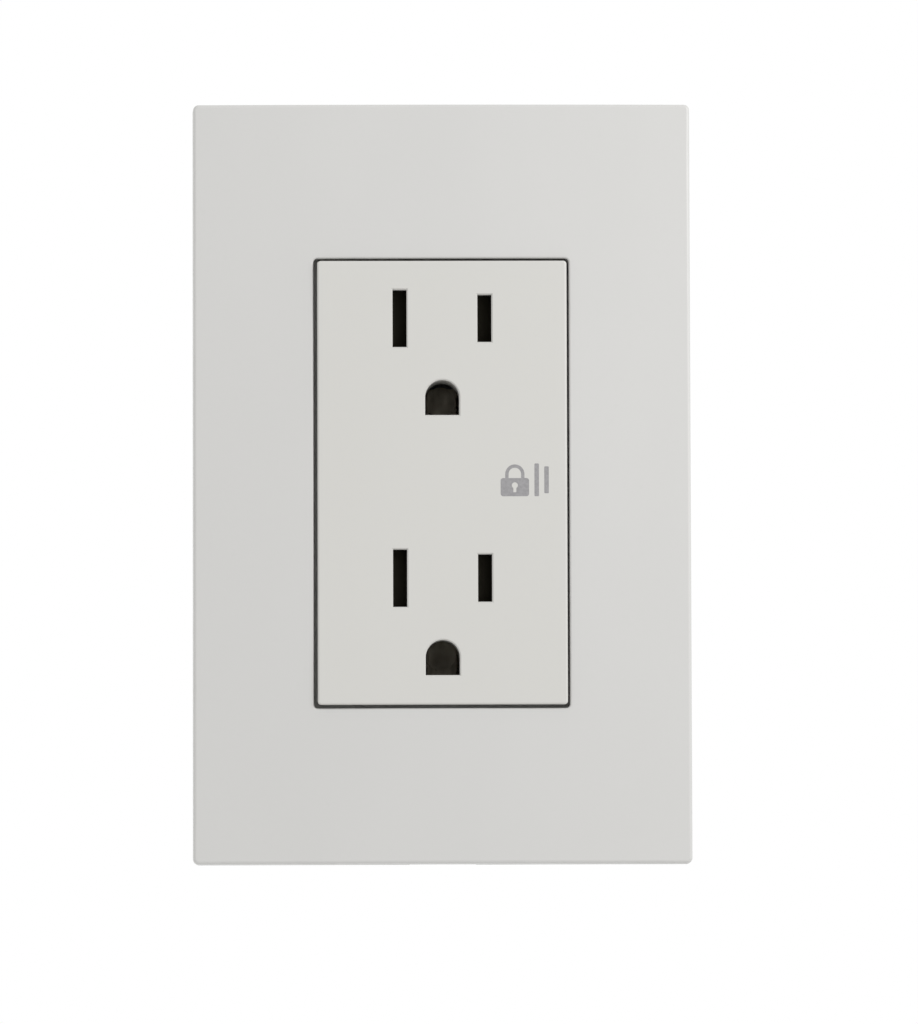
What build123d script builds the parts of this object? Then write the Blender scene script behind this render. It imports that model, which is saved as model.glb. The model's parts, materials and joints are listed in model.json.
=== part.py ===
"""Duplex wall outlet: a decorator-style 15 A, 125 V receptacle with its screwless wall plate.

The row frame is the wall's. X runs to the right as you face the outlet, Z runs up and -Y points out of
the wall. The origin is the middle of the wall surface behind the plate, halfway between the two
mounting screws. All sizes are in millimetres. "Height" below always means distance out of the wall, so
a negative height lies inside the wall box.

The two outlets are alike: one blade line with a long neutral slot on the left and a short hot slot on
the right, and a U-shaped ground hole under it. The left side carries the neutral and ground terminals,
the right side the hot ones.
"""

import math
import os

from build123d import *

os.makedirs("parts", exist_ok=True)

# ------------------------------------------------------------------ driving dimensions
# clip-on wall plate
PLATE_W, PLATE_H = 75.0, 114.3
PLATE_CREST = 6.55  # height its curved front would reach in the middle
FALL_ACROSS, FALL_UPRIGHT = 1.0, 1.1  # how far that front falls towards the sides, and the ends
PLATE_SKIN = 1.8
PLATE_DRAFT = 3.0  # degrees that each side wall leans in
PLATE_CORNER = 1.0
PLATE_EDGE = 0.5  # round where the front meets the side walls
OPENING_W, OPENING_H, OPENING_CORNER = 38.25, 67.35, 0.6
# the plate sits a hair left of the device and low, so the gap round the face is uneven
OPENING_X, OPENING_Z = -0.13, -0.07
# plate frame, the hidden inner plate that the wall plate clips to
FRAME_INSET = 0.45  # from the inside of the wall plate
FRAME_BACK, FRAME_SKIN = 1.3, 1.8
# device face and body
FACE_W, FACE_H, FACE_FRONT, FACE_CORNER = 37.35, 66.45, 6.7, 0.5
FACE_SKIN = 2.1
BODY_W, BODY_H = 35.6, 66.4
SHOULDER_W, SHOULDER_H = 41.0, 72.0  # the ring round the face, just in front of the strap
SHOULDER_BACK, SHOULDER_FRONT = 1.4, 2.2
PARTING = -4.0  # height where the front cover meets the rear housing
BODY_BACK = -25.0
BODY_WALL = 1.7
# blade slots and ground holes, to the usual 15 A, 125 V three-pin layout
OUTLET_PITCH = 38.9
OUTLET_SHIFT = -0.78  # the pair of outlets sits a little low in the face
BLADE_ABOVE, GROUND_BELOW = 5.9, 5.9  # from an outlet's centre
BLADE_X = 6.35
SLOT_W, NEUTRAL_SLOT, HOT_SLOT = 2.1, 8.6, 7.1
GROUND_R, GROUND_FLAT = 2.55, 2.7  # the arch, and how far its flat foot is under the arch centre
# strap, folded from steel sheet
STRAP_T, STRAP_W = 1.3, 19.0
STRAP_TIP, STRAP_INNER = 53.0, 33.35
STRAP_BACK_W = 13.0
STRAP_BEND = 1.6  # at the middle of the sheet
MOUNT_Z, PLATE_SCREW_Z = 83.34 / 2, 96.84 / 2
MOUNT_SLOT_L, MOUNT_SLOT_W = 7.6, 4.2
LIP_T = 0.25  # front lip of the insert in each mounting slot
# screws: numbers 6 and 8, 32 threads per inch
NO6_R, NO8_R = 1.75, 2.08
MOUNT_HEAD_R, MOUNT_HEAD_T = 3.1, 1.6
NECK_R, MOUNT_SCREW_L = 1.6, 19.3  # the plain neck through the strap, and the threaded length behind it
RUNNING_GAP = 0.06  # radial play of a screw in the plate it turns in
# terminals: side, height up the device
TERMINALS = {
    "hot_upper": (1, 13.0),
    "hot_lower": (1, -8.5),
    "neutral_upper": (-1, 13.0),
    "neutral_lower": (-1, -8.5),
    "ground": (-1, -27.0),
}
TERMINAL_HEIGHT = -12.0
TERMINAL_FACE = 15.2  # inner face of every terminal plate, from the middle of the device
BUS_T = 0.8
WIRE_GAP = 3.0  # between an open clamp and its terminal plate
WIRE_OFFSET = 3.3  # of each wire from its screw
CLAMP_T, CLAMP_W, CLAMP_D = 1.6, 9.6, 8.6
HEAD_R, HEAD_T = 4.0, 2.3
# contacts
LEAF_T = 0.7
LEAF_FOOT = -16.6
ARM_Z = {1: (-3.5, 3.5), -1: (-3.5, -0.2)}  # the arms' reach up and down from their blade line
GROUND_FOOT = -20.4
RIVET_ABOVE = 0.9  # of each rivet, from the middle of its ground hole
# shutters
SLIDER_HALF_Z = 5.2
SLIDER_BACK, SLIDER_FRONT = 1.3, 4.3
TRAY_FRONT, TRAY_BACK = 0.7, -0.6
SPRING_OUTER_R, SPRING_WIRE_R, SPRING_TURNS = 1.15, 0.16, 5
SPRING_HEIGHT = 2.3
SLIDER_LEFT, TRAY_END = -9.4, 15.8
TRAY_WALL = 1.0

OUTLETS = {
    "upper": OUTLET_SHIFT + OUTLET_PITCH / 2,
    "lower": OUTLET_SHIFT - OUTLET_PITCH / 2,
}
BLADE_Z = {name: z + BLADE_ABOVE for name, z in OUTLETS.items()}
GROUND_Z = {name: z - GROUND_BELOW for name, z in OUTLETS.items()}
POST_X, POST_Z = 10.8, 2.25  # the two screws that hold the body halves together
FIN_Z = 2.25  # middle of the break-off tab between two terminals

# ------------------------------------------------------------------ planes and small helpers
ACROSS = Plane(origin=(0, 0, 0), x_dir=(1, 0, 0), z_dir=(0, 0, -1))  # x to the right, y out of the wall
UPRIGHT = Plane(origin=(0, 0, 0), x_dir=(0, 0, 1), z_dir=(1, 0, 0))  # x up, y out of the wall
FROM_BASE = (Align.CENTER, Align.CENTER, Align.MIN)
FROM_TOP = (Align.CENTER, Align.CENTER, Align.MAX)


def front(height):
    """The plane parallel to the wall at that height, seen from the front."""
    return Plane.XZ.offset(height)


def side_plane(side, x, height, z):
    """A plane that faces out of the device's right (1) or left (-1) side."""
    return Plane(origin=(side * x, -height, z), x_dir=(0, side, 0), z_dir=(side, 0, 0))


def block(x_range, z_range, height_range, mode=Mode.ADD):
    """A block in the current part, from its ranges to the right, up and out of the wall."""
    (x0, x1), (z0, z1), (h0, h1) = sorted(x_range), sorted(z_range), sorted(height_range)
    with BuildSketch(front(h0)) as outline:
        with Locations(((x0 + x1) / 2, (z0 + z1) / 2)):
            Rectangle(x1 - x0, z1 - z0)
    extrude(outline.sketch, amount=h1 - h0, mode=mode)


def round_bar(x, z, radius, height_range, mode=Mode.ADD):
    """A round bar in the current part that points out of the wall."""
    h0, h1 = sorted(height_range)
    with BuildSketch(front(h0)) as outline:
        with Locations((x, z)):
            Circle(radius)
    extrude(outline.sketch, amount=h1 - h0, mode=mode)


def arc_radius(half_span, fall):
    """Radius of the arc that falls by that much at half_span from its top."""
    return (half_span**2 + fall**2) / (2 * fall)


def pillow(width, height, corner, crest):
    """A slab with leaning side walls, and a front that curves gently away both across and up."""
    radius_across = arc_radius(PLATE_W / 2, FALL_ACROSS)
    radius_upright = arc_radius(PLATE_H / 2, FALL_UPRIGHT)
    reach = PLATE_W / 2 + 5
    low = crest - radius_across + math.sqrt(radius_across**2 - reach**2)
    with BuildSketch(ACROSS) as section:
        with BuildLine():
            ThreePointArc((-reach, low), (0, crest), (reach, low))
            Polyline((reach, low), (reach, -3), (-reach, -3), (-reach, low))
        make_face()
    # the section swings 3 degrees each way, which takes it past both ends of the plate
    axis = Axis((0, radius_upright - crest, 0), (1, 0, 0))
    crown = Solid.revolve(section.sketch.faces()[0].rotate(axis, -3), 6, axis)
    with BuildPart() as slab:
        with BuildSketch(front(0)):
            RectangleRounded(width, height, corner)
        extrude(amount=crest + 1, taper=PLATE_DRAFT)
        add(crown, mode=Mode.INTERSECT)
    return slab.part


def write(piece, label):
    """Names a finished piece and writes its STEP file."""
    piece.part.label = label
    export_step(piece.part, f"parts/{label}.step")


# ------------------------------------------------------------------ wall plate
SNAP_X, SNAP_Z = 31.2, (-36.0, 0.0, 36.0)  # ratchet arms along the two long sides
SNAP_W, SNAP_T, SNAP_TOOTH = 8.0, 1.3, 0.35
SNAP_TIP = 0.5  # height of the arms' free ends


def ratchet_teeth(side, x_root, z, width, heights):
    """Small three-cornered ridges on an upright wall, pointing to the given side."""
    for height in heights:
        ridge = Plane(origin=(0, 0, z - width / 2), x_dir=(1, 0, 0), z_dir=(0, 0, 1))
        with BuildSketch(ridge) as outline:
            Polygon(
                (x_root - side * 0.1, -height - 0.3),
                (x_root + side * SNAP_TOOTH, -height),
                (x_root - side * 0.1, -height + 0.3),
                align=None,
            )
        extrude(outline.sketch, amount=width)


def make_cover_plate():
    half_h = PLATE_H / 2
    inner_w, inner_h = PLATE_W - 2 * PLATE_SKIN, PLATE_H - 2 * PLATE_SKIN
    with BuildPart() as plate:
        add(pillow(PLATE_W, PLATE_H, PLATE_CORNER, PLATE_CREST))
        rim = plate.edges().filter_by(
            lambda e: e.center().Y < -3 and e.bounding_box().size.Y < PLATE_CREST / 3
        )
        fillet(rim, radius=PLATE_EDGE)
        add(pillow(inner_w, inner_h, 0.5, PLATE_CREST - PLATE_SKIN), mode=Mode.SUBTRACT)
        # collar round the opening, down to just clear of the plate frame
        collar_back = FRAME_BACK + FRAME_SKIN + 0.3
        with BuildSketch(front(collar_back)):
            with Locations((OPENING_X, OPENING_Z)):
                RectangleRounded(OPENING_W + 2.4, OPENING_H + 2.4, OPENING_CORNER + 1.2)
        extrude(amount=PLATE_CREST - PLATE_SKIN / 2 - 0.3 - collar_back)
        # ratchet arms that reach back through the plate frame
        for side in (1, -1):
            for z in SNAP_Z:
                outer = side * (SNAP_X + SNAP_T)
                zs = (z - SNAP_W / 2, z + SNAP_W / 2)
                block((side * SNAP_X, outer), zs, (SNAP_TIP, PLATE_CREST - PLATE_SKIN))
                ratchet_teeth(-side, side * SNAP_X, z, SNAP_W, (0.9, 1.6, 2.3))
        # a stiffening rib above and below the opening
        for z in (-37.2, 37.2):
            block((-27, 27), (z - 0.5, z + 0.5), (collar_back, PLATE_CREST - PLATE_SKIN / 2 - 0.5))
        with BuildSketch(front(0)):
            with Locations((OPENING_X, OPENING_Z)):
                RectangleRounded(OPENING_W, OPENING_H, OPENING_CORNER)
        extrude(amount=PLATE_CREST + 1, mode=Mode.SUBTRACT)
        opening_edges = plate.edges().filter_by(
            lambda e: e.center().Y < -5.5
            and abs(e.center().X - OPENING_X) < OPENING_W / 2 + 0.1
            and abs(e.center().Z - OPENING_Z) < OPENING_H / 2 + 0.1
        )
        fillet(opening_edges, radius=0.3)
        # pry notch under the bottom edge
        block((-5, 5), (-half_h - 1, -half_h + 1.1), (-1, 1.2), Mode.SUBTRACT)
    return plate


def make_plate_frame():
    frame_w = PLATE_W - 2 * (PLATE_SKIN + FRAME_INSET)
    frame_h = PLATE_H - 2 * (PLATE_SKIN + FRAME_INSET)
    frame_front = FRAME_BACK + FRAME_SKIN
    with BuildPart() as frame:
        with BuildSketch(front(0.2)):
            RectangleRounded(frame_w, frame_h, 1.5)
        extrude(amount=2.2)
        with BuildSketch(front(0.2)):
            RectangleRounded(frame_w - 2.6, frame_h - 2.6, 0.8)
        extrude(amount=2.2, mode=Mode.SUBTRACT)
        with BuildSketch(front(FRAME_BACK)):
            RectangleRounded(frame_w - 1.0, frame_h - 1.0, 1.2)
        extrude(amount=1.1)
        with BuildSketch(front(FRAME_BACK)):
            RectangleRounded(OPENING_W + 11.5, frame_h - 6.0, 2.0)
        extrude(amount=FRAME_SKIN)
        # the device opening, with a bay at each end for a mounting screw's head
        with BuildSketch(front(FRAME_BACK)):
            RectangleRounded(SHOULDER_W + 0.5, SHOULDER_H + 0.5, 1.2)
            RectangleRounded(8.8, 2 * (MOUNT_Z + 2.65), 2.0)
            with Locations((0, MOUNT_Z), (0, -MOUNT_Z)):
                Circle(MOUNT_HEAD_R + 0.25)
        extrude(amount=FRAME_SKIN + 1, mode=Mode.SUBTRACT)
        # windows for the ratchet arms, each with a toothed wall on its inner side
        for side in (1, -1):
            for z in SNAP_Z:
                window_z = (z - SNAP_W / 2 - 0.4, z + SNAP_W / 2 + 0.4)
                wall_face = side * (SNAP_X - 2 * SNAP_TOOTH - 0.1)
                block((wall_face, side * (SNAP_X + SNAP_T + 0.5)), window_z, (0, 4), Mode.SUBTRACT)
                block((wall_face - side * 1.2, wall_face), window_z, (0.2, 2.4))
                ratchet_teeth(side, wall_face, z, SNAP_W - 0.4, (0.7, 1.3))
        # ribs on the back, two down each side
        for side in (1, -1):
            block((side * 25.6, side * 26.6), (-48, 48), (0.2, FRAME_BACK))
            for z in (-18.0, 18.0):
                block((side * 26.6, side * 34.0), (z - 0.5, z + 0.5), (0.2, FRAME_BACK))
        for end in (1, -1):
            seat = Plane(
                origin=(0, -frame_front, end * PLATE_SCREW_Z), x_dir=(1, 0, 0), z_dir=(0, -1, 0)
            )
            with Locations(seat):
                CounterSinkHole(radius=1.95, counter_sink_radius=3.2, depth=10, counter_sink_angle=82)
    return frame


def make_plate_screw(end):
    """Flat-head number 6 screw that holds the plate frame to the strap."""
    head_top = FRAME_BACK + FRAME_SKIN
    cone = 1.45
    with BuildPart() as screw:
        seat = Plane(origin=(0, -head_top, end * PLATE_SCREW_Z), x_dir=(1, 0, 0), z_dir=(0, -1, 0))
        with Locations(seat.offset(-cone)):
            Cone(NO6_R, 3.0, cone, align=FROM_BASE)
        with Locations(seat.offset(-cone)):
            Cylinder(NO6_R - RUNNING_GAP, 6.6, align=FROM_TOP)
        chamfer(screw.edges().sort_by(Axis.Y)[-1], 0.5)
        with BuildSketch(seat):
            Rectangle(7, 0.9)
        extrude(amount=-0.8, mode=Mode.SUBTRACT)
    return screw


# ------------------------------------------------------------------ strap and mounting screws
def make_strap():
    ear_mid = STRAP_T / 2
    flange_mid = STRAP_INNER + STRAP_T / 2
    back_mid = BODY_BACK - STRAP_T / 2 - 0.05
    with BuildPart() as strap:
        with BuildSketch(UPRIGHT):
            with BuildLine():
                FilletPolyline(
                    (STRAP_TIP, ear_mid),
                    (flange_mid, ear_mid),
                    (flange_mid, back_mid),
                    (-flange_mid, back_mid),
                    (-flange_mid, ear_mid),
                    (-STRAP_TIP, ear_mid),
                    radius=STRAP_BEND,
                )
            trace(line_width=STRAP_T)
        extrude(amount=STRAP_W / 2, both=True)
        tips = strap.edges().filter_by(Axis.Y).filter_by(lambda e: abs(e.center().Z) > STRAP_TIP - 0.1)
        fillet(tips, radius=1.2)
        # the run behind the housing is narrower
        for side in (1, -1):
            block(
                (side * STRAP_BACK_W / 2, side * STRAP_W),
                (-28.5, 28.5),
                (BODY_BACK - 3, BODY_BACK + 1),
                Mode.SUBTRACT,
            )
        for end in (1, -1):
            # plaster ears, joined by short necks that snap off
            for side in (1, -1):
                with BuildSketch(front(0)):
                    with Locations((side * 12.6, end * 49.4)):
                        RectangleRounded(5.0, 7.2, 1.6)
                    with Locations((side * 9.8, end * 47.2), (side * 9.8, end * 50.8)):
                        Rectangle(1.2, 1.5)
                extrude(amount=STRAP_T)
            with BuildSketch(front(0)):
                with Locations((0, end * MOUNT_Z)):
                    SlotOverall(MOUNT_SLOT_L, MOUNT_SLOT_W)
                with Locations((0, end * PLATE_SCREW_Z)):
                    Circle(NO6_R)
            extrude(amount=STRAP_T, mode=Mode.SUBTRACT)
        # ground tab: out of the lower flange's left edge, then up the housing's side
        tab_x = -(TERMINAL_FACE + STRAP_T)
        block((tab_x, -STRAP_W / 2), (-STRAP_INNER - STRAP_T, -STRAP_INNER), (-18.5, -6.5))
        block((tab_x, -TERMINAL_FACE), (-STRAP_INNER - STRAP_T, -21.4), (-18.5, -6.5))
        tab_corner = strap.edges().filter_by(Axis.Y).filter_by(
            lambda e: abs(e.center().X - tab_x) < 0.01 and e.center().Z < -STRAP_INNER
        )
        fillet(tab_corner, radius=STRAP_T)
        ground_side, ground_z = TERMINALS["ground"]
        with BuildSketch(side_plane(ground_side, TERMINAL_FACE, TERMINAL_HEIGHT, ground_z)):
            Circle(NO8_R + 0.2)
        extrude(amount=STRAP_T, mode=Mode.SUBTRACT)
        # rivet holes behind the ground contacts
        for z in GROUND_Z.values():
            round_bar(0, z + RIVET_ABOVE, 1.45, (BODY_BACK - 3, BODY_BACK + 1), Mode.SUBTRACT)
    return strap


def make_mounting_screw(end):
    """Pan-head number 6 screw, with a plain neck where it passes through the strap."""
    with BuildPart() as screw:
        seat = Plane(origin=(0, -STRAP_T - LIP_T, end * MOUNT_Z), x_dir=(1, 0, 0), z_dir=(0, -1, 0))
        with Locations(seat):
            Cylinder(MOUNT_HEAD_R, MOUNT_HEAD_T, align=FROM_BASE)
        fillet(screw.edges().sort_by(Axis.Y)[0], radius=0.9)
        with Locations(seat):
            Cylinder(NECK_R, STRAP_T + LIP_T, align=FROM_TOP)
        with Locations(seat.offset(-STRAP_T - LIP_T)):
            Cylinder(NO6_R, MOUNT_SCREW_L, align=FROM_TOP)
        chamfer(screw.edges().sort_by(Axis.Y)[-1], 0.6)
        with BuildSketch(seat.offset(MOUNT_HEAD_T)):
            Rectangle(7, 1.0)
        extrude(amount=-0.9, mode=Mode.SUBTRACT)
    return screw


def make_screw_retainer(end):
    """Plastic insert in a mounting slot; it grips the screw's neck, so the screw can't drop out."""
    with BuildPart() as retainer:
        with BuildSketch(front(0.05)):
            with Locations((0, end * MOUNT_Z)):
                SlotOverall(MOUNT_SLOT_L - 0.1, MOUNT_SLOT_W - 0.1)
        extrude(amount=STRAP_T - 0.05)
        with BuildSketch(front(STRAP_T)):
            with Locations((0, end * MOUNT_Z)):
                SlotOverall(MOUNT_SLOT_L + 0.6, MOUNT_SLOT_W + 0.6)
        extrude(amount=LIP_T)
        round_bar(0, end * MOUNT_Z, NECK_R + RUNNING_GAP, (-1, STRAP_T + 1), Mode.SUBTRACT)
    return retainer


# ------------------------------------------------------------------ body halves
def ground_outline(z, grow=0.0):
    """The U-shaped outline of a ground hole, arch up, in the current sketch."""
    radius = GROUND_R + grow
    with Locations((0, z)):
        Circle(radius)
    with Locations((0, z - (GROUND_FLAT + grow) / 2)):
        Rectangle(2 * radius, GROUND_FLAT + grow)


def make_front_cover():
    inner_x, inner_z = 16.0, BODY_H / 2 - BODY_WALL
    skin_back = FACE_FRONT - FACE_SKIN
    with BuildPart() as cover:
        with BuildSketch(front(PARTING)):
            RectangleRounded(BODY_W, BODY_H, 0.8)
        extrude(amount=SHOULDER_FRONT - PARTING)
        # shoulder: a ring in front of the strap's ears, which closes the gap round the face
        with BuildSketch(front(SHOULDER_BACK)):
            RectangleRounded(SHOULDER_W, SHOULDER_H, 1.0)
        extrude(amount=SHOULDER_FRONT - SHOULDER_BACK)
        with BuildSketch(front(SHOULDER_BACK)):
            RectangleRounded(FACE_W, FACE_H, FACE_CORNER)
        extrude(amount=FACE_FRONT - SHOULDER_BACK)
        fillet(cover.faces().sort_by(Axis.Y)[0].edges(), radius=0.35)
        with BuildSketch(front(PARTING)):
            Rectangle(2 * inner_x, 2 * inner_z)
        extrude(amount=skin_back - PARTING, mode=Mode.SUBTRACT)
        # posts for the body screws, ribs beside the shutters, a collar round each ground hole
        for side in (1, -1):
            round_bar(side * POST_X, POST_Z, 2.6, (PARTING, skin_back + 0.2))
        for name, z in BLADE_Z.items():
            for edge in (z - 7.5, z + 6.3):
                rib_top = min(edge + 1.2, inner_z + 0.2)
                block((-inner_x - 0.2, inner_x + 0.2), (edge, rib_top), (0, skin_back + 0.2))
            with BuildSketch(front(-1.8)):
                ground_outline(GROUND_Z[name], grow=1.1)
            extrude(amount=skin_back + 2.0)
        for side in (1, -1):
            round_bar(side * POST_X, POST_Z, 1.2, (PARTING, 3.2), Mode.SUBTRACT)
        # blade slots and ground holes
        for name, z in BLADE_Z.items():
            with BuildSketch(front(-3)):
                with Locations((-BLADE_X, z)):
                    Rectangle(SLOT_W, NEUTRAL_SLOT)
                with Locations((BLADE_X, z)):
                    Rectangle(SLOT_W, HOT_SLOT)
                ground_outline(GROUND_Z[name])
            extrude(amount=FACE_FRONT + 3, mode=Mode.SUBTRACT)
        mouths = cover.faces().sort_by(Axis.Y)[0].inner_wires().edges()
        chamfer(mouths, 0.2)
    return cover


def wire_entries(side, z):
    """The two slots in the back of the housing through which wires reach one terminal."""
    x = side * (TERMINAL_FACE - WIRE_GAP / 2)
    for length, width, deep in ((3.8, 2.8, TERMINAL_HEIGHT), (4.6, 3.6, BODY_BACK + 0.7)):
        with BuildSketch(front(BODY_BACK - 1)) as entries:
            with Locations((x, z - WIRE_OFFSET), (x, z + WIRE_OFFSET)):
                SlotOverall(length, width, rotation=90)
        extrude(entries.sketch, amount=deep - BODY_BACK + 1, mode=Mode.SUBTRACT)


def make_rear_housing():
    deep = LEAF_FOOT - LEAF_T / 2 - 0.1
    top = PARTING + 1
    with BuildPart() as housing:
        with BuildSketch(front(BODY_BACK)):
            RectangleRounded(BODY_W, BODY_H, 1.6)
        extrude(amount=PARTING - BODY_BACK)
        back_edges = housing.faces().sort_by(Axis.Y)[-1].edges()
        fillet(back_edges, radius=1.0)
        for side in (1, -1):
            # pockets for the blade contacts, their arms and the side plate
            for name, z in BLADE_Z.items():
                block((side * 3.6, side * 8.8), (z - 3.8, z + 3.8), (deep, top), Mode.SUBTRACT)
                low, high = ARM_Z[1 if name == "upper" else -1]
                block(
                    (side * BLADE_X, side * 15.6), (z + low - 0.2, z + high + 0.2), (deep, top), Mode.SUBTRACT
                )
            block((side * 15.1, side * 16.1), (-19.2, 28.8), (-18.2, top), Mode.SUBTRACT)
            # window for the break-off tab
            block((side * 15.6, side * 18), (FIN_Z - 2.3, FIN_Z + 2.3), (-16.5, top), Mode.SUBTRACT)
        for side, z in TERMINALS.values():
            # clamp chamber, side window and wire entries of each terminal
            block((side * 9.5, side * 15.3), (z - 5.1, z + 5.1), (-16.9, top), Mode.SUBTRACT)
            block((side * 15.6, side * 18), (z - 5.4, z + 5.4), (-17.6, top), Mode.SUBTRACT)
            wire_entries(side, z)
        # notch for the strap's ground tab, in the lower left corner
        block((-18, -15.1), (-34, -21.2), (-18.9, top), Mode.SUBTRACT)
        for z in GROUND_Z.values():
            block((-4.4, 4.4), (z - 4.4, z + 4.4), (GROUND_FOOT - 0.5, top), Mode.SUBTRACT)
            round_bar(0, z + RIVET_ABOVE, 1.45, (BODY_BACK - 1, GROUND_FOOT), Mode.SUBTRACT)
        # cored-out middle, to keep the walls even
        for low, high in ((-7.5, 7.0), (22.5, 27.5)):
            block((-2.2, 2.2), (low, high), (-21.0, top), Mode.SUBTRACT)
        for side in (1, -1):
            round_bar(side * POST_X, POST_Z, 1.5, (BODY_BACK - 1, top), Mode.SUBTRACT)
            round_bar(side * POST_X, POST_Z, 2.7, (BODY_BACK - 1, BODY_BACK + 2.4), Mode.SUBTRACT)
        # wire strip gauge, a plain groove on the back
        for side in (1, -1):
            block((side * 8.2, side * 9.0), (-19.0, -7.0), (BODY_BACK - 1, BODY_BACK + 0.35), Mode.SUBTRACT)
    return housing


def make_body_screw(side):
    """Thread-forming screw that joins the housing to the cover, put in from the back."""
    with BuildPart() as screw:
        head_seat = BODY_BACK + 2.4
        seat = Plane(origin=(side * POST_X, -head_seat, POST_Z), x_dir=(1, 0, 0), z_dir=(0, 1, 0))
        with Locations(seat):
            Cylinder(2.5, 1.6, align=FROM_BASE)
        fillet(screw.edges().sort_by(Axis.Y)[-1], radius=0.6)
        with Locations(seat):
            Cylinder(1.15, 24.6, align=FROM_TOP)
        chamfer(screw.edges().sort_by(Axis.Y)[0], 0.5)
        with BuildSketch(seat.offset(1.6)):
            Rectangle(3.2, 0.7)
            Rectangle(0.7, 3.2)
        extrude(amount=-0.9, mode=Mode.SUBTRACT)
    return screw


# ------------------------------------------------------------------ contacts and terminals
def contact_leaves(centre, half_gap, foot_half, foot, width, z):
    """A U of spring brass that opens forward: two leaves pinch what comes in between them."""
    mouth = half_gap + 0.95
    with BuildSketch(ACROSS.offset(-(z + width / 2))) as leaves:
        with BuildLine():
            FilletPolyline(
                (centre - mouth, -2.9),
                (centre - half_gap, -5.6),
                (centre - foot_half, -8.8),
                (centre - foot_half, foot),
                (centre + foot_half, foot),
                (centre + foot_half, -8.8),
                (centre + half_gap, -5.6),
                (centre + mouth, -2.9),
                radius=0.75,
            )
        trace(line_width=LEAF_T)
    extrude(leaves.sketch, amount=width)
    # slits part each leaf into three fingers
    for slit_z in (z - width / 6, z + width / 6):
        block(
            (centre - foot_half - 1, centre + foot_half + 1),
            (slit_z - 0.2, slit_z + 0.2),
            (-12.5, -2),
            Mode.SUBTRACT,
        )


def make_bus(side):
    """Brass strip of one pole: a side plate for two terminals, and an arm and a contact for each outlet."""
    outer = TERMINAL_FACE + BUS_T
    with BuildPart() as bus:
        block((side * TERMINAL_FACE, side * outer), (-19.0, 28.6), (-18.0, PARTING - 0.2))
        # the neck between the two terminals, with the tab that snaps off
        block((side * 14, side * 17), (FIN_Z - 1.9, FIN_Z + 1.9), (-19, -15.2), Mode.SUBTRACT)
        block((side * 14, side * 17), (FIN_Z - 1.9, FIN_Z + 1.9), (-8.0, -3), Mode.SUBTRACT)
        block((side * 14, side * 17), (FIN_Z - 0.9, FIN_Z + 0.9), (-12.6, -10.6), Mode.SUBTRACT)
        block((side * outer, side * (outer + 1.5)), (FIN_Z - 1.5, FIN_Z + 1.5), (-10.0, -9.2))
        block((side * (outer - 0.3), side * (outer + 0.2)), (FIN_Z - 1.5, FIN_Z + 1.5), (-10.0, -9.2))
        for name, z in BLADE_Z.items():
            contact_leaves(side * BLADE_X, 0.9, 1.6, LEAF_FOOT, 7.0, z)
            low, high = ARM_Z[1 if name == "upper" else -1]
            block(
                (side * (BLADE_X + 1.0), side * (TERMINAL_FACE + 0.4)),
                (z + low, z + high),
                (LEAF_FOOT - LEAF_T / 2, LEAF_FOOT + LEAF_T / 2),
            )
        for name, (terminal_side, z) in TERMINALS.items():
            if terminal_side == side and name != "ground":
                with BuildSketch(side_plane(side, TERMINAL_FACE, TERMINAL_HEIGHT, z)):
                    Circle(NO8_R + 0.2)
                extrude(amount=BUS_T, mode=Mode.SUBTRACT)
    return bus


def make_ground_contact(z):
    """The ground pin's contact, riveted through the housing to the strap."""
    with BuildPart() as contact:
        contact_leaves(0, 2.55, 3.2, GROUND_FOOT, 6.0, z)
        round_bar(0, z + RIVET_ABOVE, 1.45, (GROUND_FOOT - 1, GROUND_FOOT + 1), Mode.SUBTRACT)
    return contact


def make_ground_rivet(ground_z):
    z = ground_z + RIVET_ABOVE
    with BuildPart() as rivet:
        inside = GROUND_FOOT + LEAF_T / 2
        outside = BODY_BACK - STRAP_T - 0.05
        round_bar(0, z, 1.4, (outside, inside))
        round_bar(0, z, 2.3, (inside, inside + 0.9))
        round_bar(0, z, 2.5, (outside, outside - 1.1))
        fillet(rivet.edges().sort_by(Axis.Y)[-1], radius=0.9)
    return rivet


def make_terminal_screw(name):
    """Number 8 binding-head screw; its head bears on the terminal plate, its thread draws the clamp."""
    side, z = TERMINALS[name]
    plate_t = STRAP_T if name == "ground" else BUS_T
    reach = TERMINAL_FACE - WIRE_GAP - CLAMP_T - 0.9
    seat_x = TERMINAL_FACE + plate_t
    with BuildPart() as screw:
        seat = side_plane(side, seat_x, TERMINAL_HEIGHT, z)
        with Locations(seat):
            Cylinder(HEAD_R, HEAD_T, align=FROM_BASE)
        rim = screw.edges().sort_by(Axis.X)[-1 if side > 0 else 0]
        fillet(rim, radius=0.9)
        with Locations(seat):
            Cylinder(NO8_R, seat_x - reach, align=FROM_TOP)
        tip = screw.edges().sort_by(Axis.X)[0 if side > 0 else -1]
        chamfer(tip, 0.6)
        with BuildSketch(seat.offset(HEAD_T)):
            Rectangle(9, 1.2)
        extrude(amount=-1.2, mode=Mode.SUBTRACT)
    return screw


def make_clamp(name):
    """Threaded pressure plate of one terminal, with a groove for a wire on each side of the screw."""
    side, z = TERMINALS[name]
    with BuildPart() as clamp:
        back = side_plane(side, TERMINAL_FACE - WIRE_GAP - CLAMP_T, TERMINAL_HEIGHT, z)
        with BuildSketch(back):
            RectangleRounded(CLAMP_D, CLAMP_W, 0.6)
            Circle(NO8_R + RUNNING_GAP, mode=Mode.SUBTRACT)
        extrude(amount=CLAMP_T)
        groove_x = side * (TERMINAL_FACE - WIRE_GAP + 0.45)
        for groove_z in (z - WIRE_OFFSET, z + WIRE_OFFSET):
            round_bar(groove_x, groove_z, 1.1, (TERMINAL_HEIGHT - 6, TERMINAL_HEIGHT + 6), Mode.SUBTRACT)
    return clamp


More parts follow.
